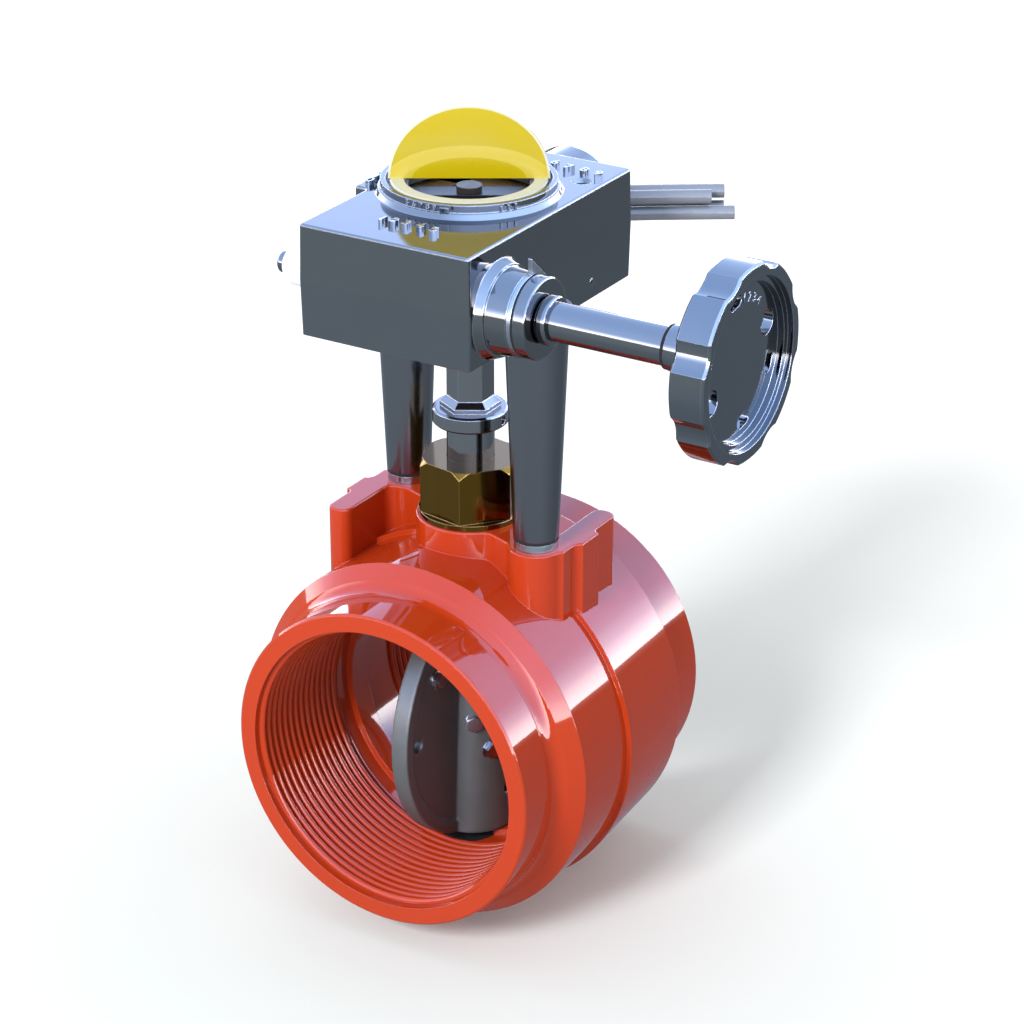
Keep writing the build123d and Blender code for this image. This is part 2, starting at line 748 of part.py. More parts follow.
# Worm: root cylinder with one left-hand helical thread
worm_tip = worm_pitch_radius + tooth_reach
worm_root = worm_pitch_radius - tooth_reach - mesh_gap
thread_tip_half = tooth_thickness / 2 - tooth_reach * tooth_lean
thread_root_half = tooth_thickness / 2 + (tooth_reach + mesh_gap + tooth_reach / 2) * tooth_lean
thread_path = thread_plane.location * Helix(pitch, pitch * worm_turns, worm_root, lefthand=True)
with BuildPart() as worm:
    rod(shaft_plane, worm_root, -worm_half - worm_end, worm_half + worm_hub_length)
    with BuildSketch(Plane(origin=thread_path @ 0, x_dir=(0, 1, 0), z_dir=thread_path % 0)):
        with BuildLine():
            Polyline(
                (-tooth_reach / 2, -thread_root_half),
                (worm_tip - worm_root, -thread_tip_half),
                (worm_tip - worm_root, thread_tip_half),
                (-tooth_reach / 2, thread_root_half),
                close=True,
            )
        make_face()
    sweep(path=thread_path, is_frenet=True)
    rod(shaft_plane, inner_shaft_radius, -worm_half * 2, worm_half * 2, mode=Mode.SUBTRACT)
    rod(worm_cross, worm_pin_radius, -worm_tip, worm_tip, mode=Mode.SUBTRACT)
worm.part.label = "worm"
export_step(worm.part, "parts/worm.step")

with BuildPart() as worm_pin:
    rod(worm_cross, worm_pin_radius, -worm_root, worm_root)
worm_pin.part.label = "worm_pin"
export_step(worm_pin.part, "parts/worm_pin.step")


# Worm shaft with its bearings, end plug, retainer plate and cap
with BuildPart() as worm_shaft:
    rod(shaft_plane, inner_shaft_radius, inner_shaft_start, worm_half + worm_hub_length)
    rod(shaft_plane, shaft_radius, worm_half + worm_hub_length, shaft_end)
    rod(shaft_plane, tip_radius, tip_end, inner_shaft_start)
    fillet(worm_shaft.edges().filter_by(GeomType.CIRCLE).group_by(Axis.X)[0], tip_round)
    rod(worm_cross, worm_pin_radius, -worm_root, worm_root, mode=Mode.SUBTRACT)
    rod(wheel_cross, wheel_pin_radius, -wheel_hub, wheel_hub, mode=Mode.SUBTRACT)
worm_shaft.part.label = "worm_shaft"
export_step(worm_shaft.part, "parts/worm_shaft.step")

with BuildPart() as end_plug:
    rod(shaft_plane, plug_radius, plug_low_x, case_left + case_wall)
    taper_rod(shaft_plane, plug_nose_radius, plug_radius, plug_nose_x, plug_low_x)
    rod(shaft_plane, tip_radius + running_gap, plug_nose_x, case_left + case_wall, mode=Mode.SUBTRACT)
end_plug.part.label = "end_plug"
export_step(end_plug.part, "parts/end_plug.step")

with BuildPart() as worm_bush:
    rod(shaft_plane, bush_radius, case_right - case_wall, boss_end_x)
    rod(shaft_plane, shaft_radius + running_gap, case_right - case_wall, boss_end_x, mode=Mode.SUBTRACT)
worm_bush.part.label = "worm_bush"
export_step(worm_bush.part, "parts/worm_bush.step")

plate_end_x = boss_end_x + plate_thickness
gasket_end_x = plate_end_x + gasket_thickness
with BuildPart() as retainer_plate:
    with BuildSketch(shaft_plane.offset(boss_end_x)):
        Circle(plate_radius)
        with BuildLine():
            Polyline((0, 0), (0, plate_corner_up), (plate_corner_back, 0), close=True)
        make_face()
        Circle(shaft_radius + moving_gap, mode=Mode.SUBTRACT)
    extrude(amount=plate_thickness)
retainer_plate.part.label = "retainer_plate"
export_step(retainer_plate.part, "parts/retainer_plate.step")

with BuildPart() as cap_gasket:
    rod(shaft_plane, cap_radius, plate_end_x, gasket_end_x)
    rod(shaft_plane, shaft_radius + moving_gap, plate_end_x, gasket_end_x, mode=Mode.SUBTRACT)
cap_gasket.part.label = "cap_gasket"
export_step(cap_gasket.part, "parts/cap_gasket.step")

with BuildPart() as worm_cap:
    rod(shaft_plane, cap_radius, gasket_end_x, cap_front)
    fillet(worm_cap.edges().filter_by(GeomType.CIRCLE).group_by(Axis.X)[-1], case_edge)
    rod(shaft_plane, shaft_radius + moving_gap, gasket_end_x, cap_front, mode=Mode.SUBTRACT)
worm_cap.part.label = "worm_cap"
export_step(worm_cap.part, "parts/worm_cap.step")

collar_start = cap_front + collar_gap
with BuildPart() as shaft_collar:
    rod(shaft_plane, shoulder_radius, collar_start, collar_start + shoulder_length)
    fillet(shaft_collar.edges().filter_by(GeomType.CIRCLE), case_edge)
    rod(shaft_plane, shaft_radius, collar_start, collar_start + shoulder_length, mode=Mode.SUBTRACT)
shaft_collar.part.label = "shaft_collar"
export_step(shaft_collar.part, "parts/shaft_collar.step")


# Handwheel: scalloped rim, stepped dish, hub, two large holes and four slots
with BuildPart() as handwheel:
    with BuildSketch(shaft_plane.offset(rim_back)):
        Circle(rim_radius)
        with Locations(Location((0, 0), notch_angle)):
            with PolarLocations(rim_radius - notch_depth + notch_radius, notch_count):
                Circle(notch_radius, mode=Mode.SUBTRACT)
    extrude(amount=rim_front - rim_back)
    chamfer(handwheel.edges().group_by(Axis.X)[-1], rim_edge)
    chamfer(handwheel.edges().group_by(Axis.X)[0], rim_edge)
    rod(shaft_plane, dish_radius, rim_front - dish_depth, rim_front, mode=Mode.SUBTRACT)
    rod(shaft_plane, web_radius, rim_front - web_depth, rim_front, mode=Mode.SUBTRACT)
    rod(shaft_plane, web_radius, rim_back, rim_back + back_recess, mode=Mode.SUBTRACT)
    taper_rod(shaft_plane, wheel_hub_neck, wheel_hub, wheel_hub_back, rim_back + back_recess)
    with BuildSketch(shaft_plane.offset(rim_back)):
        for angle in (big_hole_angle, big_hole_angle + 180):
            with PolarLocations(big_hole_centre, 1, start_angle=angle):
                Circle(big_hole_radius)
        for angle in slot_angles:
            with PolarLocations(slot_centre, 1, start_angle=angle):
                SlotOverall(slot_length, slot_radius * 2, rotation=90)
    extrude(amount=rim_front - rim_back, mode=Mode.SUBTRACT)
    rod(shaft_plane, shaft_radius, wheel_hub_back, shaft_end, mode=Mode.SUBTRACT)
    rod(wheel_cross, wheel_pin_radius, -wheel_hub * 2, wheel_hub * 2, mode=Mode.SUBTRACT)
handwheel.part.label = "handwheel"
export_step(handwheel.part, "parts/handwheel.step")

with BuildPart() as wheel_ring:
    rod(shaft_plane, hub_ring_radius, wheel_hub_back - hub_ring_thickness, wheel_hub_back)
    rod(shaft_plane, shaft_radius, wheel_hub_back - hub_ring_thickness, wheel_hub_back, mode=Mode.SUBTRACT)
wheel_ring.part.label = "wheel_ring"
export_step(wheel_ring.part, "parts/wheel_ring.step")

with BuildPart() as wheel_pin:
    rod(wheel_cross, wheel_pin_radius, -wheel_hub, wheel_hub)
wheel_pin.part.label = "wheel_pin"
export_step(wheel_pin.part, "parts/wheel_pin.step")


# Switch bracket, spindle bushing and cam
with BuildPart() as switch_bracket:
    block(
        case_left + case_wall + moving_gap,
        case_right - case_wall - moving_gap,
        bracket_front,
        bracket_back,
        bracket_low,
        bracket_high,
    )
    block(
        step_left + case_wall + moving_gap,
        0,
        step_y + case_wall + moving_gap,
        bracket_back,
        bracket_low,
        bracket_high,
    )
    rod(stem_plane, spindle_sleeve_radius, bracket_low, bracket_high, mode=Mode.SUBTRACT)
    for place in stop_places:
        with Locations((*place, bracket_low)):
            Cylinder(stop_radius, bracket_high - bracket_low, align=low, mode=Mode.SUBTRACT)
switch_bracket.part.label = "switch_bracket"
export_step(switch_bracket.part, "parts/switch_bracket.step")

with BuildPart() as spindle_bushing:
    rod(stem_plane, spindle_sleeve_radius, bracket_low, bracket_high)
    rod(stem_plane, spindle_radius + running_gap, bracket_low, bracket_high, mode=Mode.SUBTRACT)
spindle_bushing.part.label = "spindle_bushing"
export_step(spindle_bushing.part, "parts/spindle_bushing.step")

with BuildPart() as cam:
    with BuildSketch(cam_plane.offset(cam_low)):
        Circle(cam_heel_radius)
        with BuildLine():
            CenterArc((0, 0), cam_radius, -cam_half, cam_half * 2)
            Line((0, 0), (cam_radius * cos(radians(cam_half)), cam_radius * sin(radians(cam_half))))
            Line((0, 0), (cam_radius * cos(radians(cam_half)), -cam_radius * sin(radians(cam_half))))
        make_face()
        Circle(spindle_radius, mode=Mode.SUBTRACT)
    extrude(amount=cam_high - cam_low)
cam.part.label = "cam"
export_step(cam.part, "parts/cam.step")


# Switches: one at the left, one at the back, each with a sprung plunger facing the cam
case_near = cam_radius + moving_gap + plunger_out
plunger_bore = plunger_tail + plunger_stroke + moving_gap
switch_mid = stem_y + switch_offset
with BuildPart() as switch_open:
    block(
        -case_near - switch_height,
        -case_near,
        switch_mid - switch_length / 2,
        switch_mid + switch_length / 2,
        bracket_high,
        bracket_high + switch_thickness,
    )
    rod(plunger_left, plunger_radius + moving_gap, case_near, case_near + plunger_bore, mode=Mode.SUBTRACT)
switch_open.part.label = "switch_open"
export_step(switch_open.part, "parts/switch_open.step")

with BuildPart() as plunger_open:
    rod(plunger_left, plunger_radius, cam_radius + moving_gap, case_near + plunger_tail)
plunger_open.part.label = "plunger_open"
export_step(plunger_open.part, "parts/plunger_open.step")

with BuildPart() as switch_closed:
    block(
        switch_offset - switch_length / 2,
        switch_offset + switch_length / 2,
        stem_y + case_near,
        stem_y + case_near + switch_height,
        bracket_high,
        bracket_high + switch_thickness,
    )
    rod(plunger_back, plunger_radius + moving_gap, case_near, case_near + plunger_bore, mode=Mode.SUBTRACT)
switch_closed.part.label = "switch_closed"
export_step(switch_closed.part, "parts/switch_closed.step")

with BuildPart() as plunger_closed:
    rod(plunger_back, plunger_radius, cam_radius + moving_gap, case_near + plunger_tail)
plunger_closed.part.label = "plunger_closed"
export_step(plunger_closed.part, "parts/plunger_closed.step")


# Indicator: bar with two raised tabs, ring, half-round flag and its screw
with BuildPart() as indicator_bar:
    rod(stem_plane, bar_width / 2 + tip_round, cam_high, bar_low)
    with BuildSketch(flag_plane.offset(bar_low)):
        Rectangle(bar_reach * 2, bar_width)
    extrude(amount=bar_high - bar_low)
    with BuildSketch(flag_plane.offset(bar_high)):
        with Locations((bar_reach - bar_tab / 2, 0), (bar_tab / 2 - bar_reach, 0)):
            Rectangle(bar_tab, bar_width)
    extrude(amount=ring_under - bar_high)
    rod(stem_plane, spindle_radius, cam_high, spindle_top, mode=Mode.SUBTRACT)
    rod(stem_plane, screw_shank_radius, cam_high, bar_high, mode=Mode.SUBTRACT)
indicator_bar.part.label = "indicator_bar"
export_step(indicator_bar.part, "parts/indicator_bar.step")

with BuildPart() as indicator_screw:
    rod(stem_plane, screw_shank_radius, spindle_top, bar_high)
    rod(stem_plane, screw_head_radius, bar_high, bar_high + screw_head_height)
indicator_screw.part.label = "indicator_screw"
export_step(indicator_screw.part, "parts/indicator_screw.step")

with BuildPart() as indicator_ring:
    rod(stem_plane, ring_outer, ring_under, ring_face)
    fillet(indicator_ring.edges().filter_by(GeomType.CIRCLE).group_by(Axis.Z)[-1], case_edge)
    rod(stem_plane, ring_inner, ring_under, ring_face, mode=Mode.SUBTRACT)
indicator_ring.part.label = "indicator_ring"
export_step(indicator_ring.part, "parts/indicator_ring.step")

with BuildPart() as flag:
    with BuildSketch(flag_upright.offset(-flag_thickness / 2)):
        with BuildLine():
            EllipticalCenterArc((0, ring_face), flag_half_width, flag_height, arc_size=180)
            Line((-flag_half_width, ring_face), (flag_half_width, ring_face))
        make_face()
    extrude(amount=flag_thickness)
flag.part.label = "flag"
export_step(flag.part, "parts/flag.step")


# Lead gland and the four leads, each with one tangent bend after the gland
def lead_route(column, row, shorter):
    offset_x = (column - 0.5) * lead_pitch
    heading = (sin(radians(lead_heading)), cos(radians(lead_heading)), 0)
    start = Vector(hub_x + offset_x, lead_start, row)
    corner = Vector(hub_x + offset_x, lead_corner - offset_x * tan(radians(lead_heading / 2)), row)
    end = corner + Vector(*heading) * (lead_length - shorter)
    return start, corner, end


def lead_tube(route, name):
    start, corner, end = route
    run = min((corner - start).length, (end - corner).length)
    bend = 0.45 * run / tan(radians(lead_heading / 2))
    print(name, "bend radius", round(bend, 2), "tube radius", lead_radius)
    with BuildPart() as tube:
        with BuildLine() as path:
            FilletPolyline(start, corner, end, radius=bend)
        with BuildSketch(Plane(origin=start, x_dir=(1, 0, 0), z_dir=(0, 1, 0))):
            Circle(lead_radius)
        sweep(path=path.line)
    return tube.part


lead_row_low = lead_row_high - lead_pitch
lead_places = (
    (0, lead_row_high, 0),
    (1, lead_row_high, lead_short),
    (0, lead_row_low, 0),
    (1, lead_row_low, 0),
)
with BuildPart() as lead_gland:
    rod(conduit_plane, conduit_radius, gland_inner, gland_face)
    for column, row, shorter in lead_places:
        with BuildSketch(conduit_plane.offset(gland_inner)):
            with Locations(((column - 0.5) * lead_pitch, conduit_z - row)):
                Circle(lead_radius)
        extrude(amount=gland_face - gland_inner, mode=Mode.SUBTRACT)
lead_gland.part.label = "lead_gland"
export_step(lead_gland.part, "parts/lead_gland.step")

with BuildPart() as lead_high_back:
    add(lead_tube(lead_route(*lead_places[0]), "lead_high_back"))
lead_high_back.part.label = "lead_high_back"
export_step(lead_high_back.part, "parts/lead_high_back.step")

with BuildPart() as lead_high_front:
    add(lead_tube(lead_route(*lead_places[1]), "lead_high_front"))
lead_high_front.part.label = "lead_high_front"
export_step(lead_high_front.part, "parts/lead_high_front.step")

with BuildPart() as lead_low_back:
    add(lead_tube(lead_route(*lead_places[2]), "lead_low_back"))
lead_low_back.part.label = "lead_low_back"
export_step(lead_low_back.part, "parts/lead_low_back.step")

with BuildPart() as lead_low_front:
    add(lead_tube(lead_route(*lead_places[3]), "lead_low_front"))
lead_low_front.part.label = "lead_low_front"
export_step(lead_low_front.part, "parts/lead_low_front.step")
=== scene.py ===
import math

import bmesh
import bpy
from mathutils import Matrix, Vector


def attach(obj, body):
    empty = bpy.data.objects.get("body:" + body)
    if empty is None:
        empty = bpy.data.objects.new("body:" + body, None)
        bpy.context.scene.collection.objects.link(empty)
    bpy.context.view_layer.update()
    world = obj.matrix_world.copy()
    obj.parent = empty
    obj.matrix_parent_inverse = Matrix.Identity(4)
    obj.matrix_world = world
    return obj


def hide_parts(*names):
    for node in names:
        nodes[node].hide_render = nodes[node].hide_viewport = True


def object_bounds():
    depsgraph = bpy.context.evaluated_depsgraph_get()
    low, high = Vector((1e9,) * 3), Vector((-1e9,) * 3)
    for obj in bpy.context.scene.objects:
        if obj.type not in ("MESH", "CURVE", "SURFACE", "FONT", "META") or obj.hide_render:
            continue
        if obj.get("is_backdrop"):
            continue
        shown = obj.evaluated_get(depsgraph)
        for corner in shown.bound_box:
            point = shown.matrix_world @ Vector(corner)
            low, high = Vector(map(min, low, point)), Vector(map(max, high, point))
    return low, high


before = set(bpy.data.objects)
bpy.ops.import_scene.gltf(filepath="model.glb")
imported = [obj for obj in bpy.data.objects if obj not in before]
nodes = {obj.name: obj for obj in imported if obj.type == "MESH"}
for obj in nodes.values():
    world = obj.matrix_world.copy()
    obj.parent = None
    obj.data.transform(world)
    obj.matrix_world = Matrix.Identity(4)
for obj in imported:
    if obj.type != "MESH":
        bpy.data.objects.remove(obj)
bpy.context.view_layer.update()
scene = bpy.context.scene
scene.view_settings.view_transform = "Standard"
mm = 0.001

# Axes of the stem and the handwheel's shaft, and the ports' faces, as in the part's source
stemY = 43.5
shaftY, shaftZ = 15.4, 122.8
inletFace, outletFace = 0.0, 87.0

# Camera
camera = {
    "azimuth": 31.35,
    "elevation": 24.84,
    "distance": 786.0,
    "side": 32.89,
    "height": 64.38,
    "lens": 111.66,
    "sensor": 36,
    "near": 0.01,
    "far": 50,
}


def placeCamera(c):
    az, el = math.radians(c["azimuth"]), math.radians(c["elevation"])
    back = Vector((math.sin(az) * math.cos(el), -math.cos(az) * math.cos(el), math.sin(el)))
    right = Vector((math.cos(az), math.sin(az), 0))
    up = back.cross(right)
    data = bpy.data.cameras.new("camera")
    data.lens = c["lens"]
    data.sensor_width = c["sensor"]
    data.clip_start = c["near"]
    data.clip_end = c["far"]
    eye = bpy.data.objects.new("camera", data)
    scene.collection.objects.link(eye)
    eye.location = (right * c["side"] + up * c["height"] + back * c["distance"]) * mm
    eye.rotation_mode = "QUATERNION"
    eye.rotation_quaternion = Matrix((right, up, back)).transposed().to_quaternion()
    scene.camera = eye


placeCamera(camera)
print("camera placed")


# Objects and meshes
def addObject(name, mesh, body):
    piece = bpy.data.objects.new(name, mesh)
    scene.collection.objects.link(piece)
    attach(piece, body)
    return piece


def meshFrom(name, points, faces, smoothAngle):
    mesh = bpy.data.meshes.new(name)
    mesh.from_pydata([Vector(p) * mm for p in points], [], faces)
    mesh.validate()
    bm = bmesh.new()
    bm.from_mesh(mesh)
    bmesh.ops.recalc_face_normals(bm, faces=bm.faces)
    bm.to_mesh(mesh)
    bm.free()
    mesh.shade_smooth()
    mesh.set_sharp_from_angle(angle=math.radians(smoothAngle))
    return mesh


# Shader nodes: a Value is a socket that takes part in sums
class Value:
    def __init__(self, tree, out):
        self.tree = tree
        self.out = out

    def math(self, operation, first, second):
        settings = {"operation": operation}
        made = addNode(self.tree, "ShaderNodeMath", settings, {0: first, 1: second})
        return Value(self.tree, made.outputs[0])

    def __add__(self, other):
        return self.math("ADD", self, other)

    def __sub__(self, other):
        return self.math("SUBTRACT", self, other)

    def __rsub__(self, other):
        return self.math("SUBTRACT", other, self)

    def __mul__(self, other):
        return self.math("MULTIPLY", self, other)

    def __truediv__(self, other):
        return self.math("DIVIDE", self, other)

    def __lt__(self, other):
        return self.math("LESS_THAN", self, other)

    def clamp(self):
        made = addNode(self.tree, "ShaderNodeClamp", {}, {"Value": self})
        return Value(self.tree, made.outputs[0])


def addNode(tree, kind, settings, values):
    made = tree.nodes.new(kind)
    for key, setting in settings.items():
        if key == "stops":
            ramp = made.color_ramp.elements
            while len(ramp) < len(setting):
                ramp.new(0.5)
            for element, (position, colour) in zip(ramp, setting):
                element.position = position
                element.color = (*colour, 1)
        else:
            setattr(made, key, setting)
    for key, value in values.items():
        socket = made.inputs[key]
        if isinstance(value, Value):
            value = value.out
        if isinstance(value, bpy.types.NodeSocket):
            tree.links.new(value, socket)
        elif isinstance(value, tuple) and len(value) < len(socket.default_value):
            socket.default_value = (*value, 1)
        else:
            socket.default_value = value
    return made


def newMaterial(name):
    material = bpy.data.materials.new(name)
    material.use_nodes = True
    material.node_tree.nodes.clear()
    return material, material.node_tree


def finishMaterial(tree, shader):
    addNode(tree, "ShaderNodeOutputMaterial", {}, {"Surface": shader.outputs[0]})


def noiseOf(tree, scale, detail, rough, stretch):
    place = addNode(tree, "ShaderNodeTexCoord", {}, {})
    values = {"Vector": place.outputs["Object"], "Scale": stretch}
    mapped = addNode(tree, "ShaderNodeMapping", {}, values)
    values = {"Vector": mapped.outputs[0], "Scale": scale, "Detail": detail, "Roughness": rough}
    made = addNode(tree, "ShaderNodeTexNoise", {}, values)
    return Value(tree, made.outputs["Fac"])


def mixColour(tree, factor, first, second):
    made = addNode(tree, "ShaderNodeMix", {"data_type": "RGBA"}, {0: factor, 6: first, 7: second})
    return made.outputs[2]


def bumpOf(tree, height, strength, distance, normal):
    values = {"Height": height, "Strength": strength, "Distance": distance, "Normal": normal}
    made = addNode(tree, "ShaderNodeBump", {}, values)
    return made.outputs[0]


def roundedNormal(tree, radius):
    settings = {"samples": plain["bevelSamples"]}
    made = addNode(tree, "ShaderNodeBevel", settings, {"Radius": radius * mm})
    return made.outputs[0]


def edgeMask(tree, rounded, gain):
    flat = addNode(tree, "ShaderNodeNewGeometry", {}, {})
    values = {0: rounded, 1: flat.outputs["Normal"]}
    match = addNode(tree, "ShaderNodeVectorMath", {"operation": "DOT_PRODUCT"}, values)
    return ((1 - Value(tree, match.outputs["Value"])) * gain).clamp()


# What a finish has unless it says otherwise
plain = {
    "stretch": (1, 1, 1),
    "grain": 120,
    "grainDetail": 4,
    "bumpScale": 900,
    "bumpDetail": 3,
    "noiseRough": 0.6,
    "bump": 0.04,
    "bumpDepth": 0.05,
    "bevel": 0.3,
    "bevelSamples": 4,
    # Painted highlight: how far the colour turns lighter along rounded edges; none unless a finish
    # sets it
    "paintedEdgeHighlight": 0.0,
    "highlightGain": 8,
    "highlightFloor": 0.35,
    "metallic": 0.0,
    "spread": 0.06,
    "extra": {},
}


def surface(name, settings):
    s = {**plain, "highlightColour": settings["colour"], **settings}
    material, tree = newMaterial(name)
    broad = noiseOf(tree, s["grain"], s["grainDetail"], s["noiseRough"], s["stretch"])
    fine = noiseOf(tree, s["bumpScale"], s["bumpDetail"], s["noiseRough"], s["stretch"])
    rounded = roundedNormal(tree, s["bevel"])
    # Painted highlight: a lighter colour is mixed in along rounded edges, where bright glints
    # would fall
    edges = edgeMask(tree, rounded, s["highlightGain"])
    paintedEdgeHighlight = (edges * (broad + s["highlightFloor"])).clamp() * s["paintedEdgeHighlight"]
    base = mixColour(tree, broad.clamp(), s["colour"], s["second"])
    values = {
        "Base Color": mixColour(tree, paintedEdgeHighlight, base, s["highlightColour"]),
        "Metallic": s["metallic"],
        "Roughness": (broad - 0.5) * s["spread"] + s["rough"],
        "Normal": bumpOf(tree, fine, s["bump"], s["bumpDepth"] * mm, rounded),
        **s["extra"],
    }
    finishMaterial(tree, addNode(tree, "ShaderNodeBsdfPrincipled", {}, values))
    return material


def dress(material, names):
    for name in names:
        piece = nodes[name]
        piece.data.materials.clear()
        piece.data.materials.append(material)
        for face in piece.data.polygons:
            face.material_index = 0


# Leads: their routes are those of the leads in the part's source
lead = {
    "diameter": 3.6,
    "start": 78.4,
    "corner": 93.6,
    "pitch": 4.3,
    "heading": 57.0,
    "length": 35.5,
    "short": 6.0,
    "hubX": 4.5,
    "rowHigh": 123.6,
    "cornerWeight": 4.0,
    "curveSteps": 40,
    "roundSteps": 8,
    "lengthSteps": 400,
}


def leadRoute(column, row, shorter):
    shift = (column - 0.5) * lead["pitch"]
    heading = math.radians(lead["heading"])
    start = Vector((lead["hubX"] + shift, lead["start"], row))
    corner = Vector((start.x, lead["corner"] - shift * math.tan(heading / 2), row))
    onward = Vector((math.sin(heading), math.cos(heading), 0))
    end = corner + onward * (lead["length"] - shorter)
    return [start, corner, end]


def routeLength(route):
    steps = lead["lengthSteps"]
    start, corner, end = route
    last, total = start, 0.0
    for i in range(1, steps + 1):
        t = i / steps
        shares = ((1 - t) ** 2, 2 * t * (1 - t) * lead["cornerWeight"], t * t)
        point = (start * shares[0] + corner * shares[1] + end * shares[2]) / sum(shares)
        total += (point - last).length
        last = point
    return total


def makeLead(name, node, route, material):
    data = bpy.data.curves.new(name, "CURVE")
    data.dimensions = "3D"
    data.resolution_u = lead["curveSteps"]
    data.bevel_depth = lead["diameter"] / 2 * mm
    data.bevel_resolution = lead["roundSteps"]
    data.use_fill_caps = True
    spline = data.splines.new("NURBS")
    spline.points.add(len(route) - 1)
    weights = (1.0, lead["cornerWeight"], 1.0)
    for point, place, weight in zip(spline.points, route, weights):
        point.co = (*(place * mm), weight)
    spline.order_u = 3
    spline.use_endpoint_u = True
    data.materials.append(material)
    piece = bpy.data.objects.new(name, data)
    scene.collection.objects.link(piece)
    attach(piece, "valve")
    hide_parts(node)
    route[0] * mm
    routeLength(route) * mm
    print(name, "length", round(routeLength(route), 1))


leadSettings = {
    "colour": (0.20, 0.215, 0.25),
    "second": (0.16, 0.175, 0.21),
    "rough": 0.22,
    "grain": 260,
    "bevel": 0.15,
}
leadCover = surface("leadCover", leadSettings)
rowHigh, rowLow = lead["rowHigh"], lead["rowHigh"] - lead["pitch"]
makeLead("leadHighBack", "lead_high_back", leadRoute(0, rowHigh, 0), leadCover)
makeLead("leadHighFront", "lead_high_front", leadRoute(1, rowHigh, lead["short"]), leadCover)
makeLead("leadLowBack", "lead_low_back", leadRoute(0, rowLow, 0), leadCover)
makeLead("leadLowFront", "lead_low_front", leadRoute(1, rowLow, 0), leadCover)
print("leads laid")
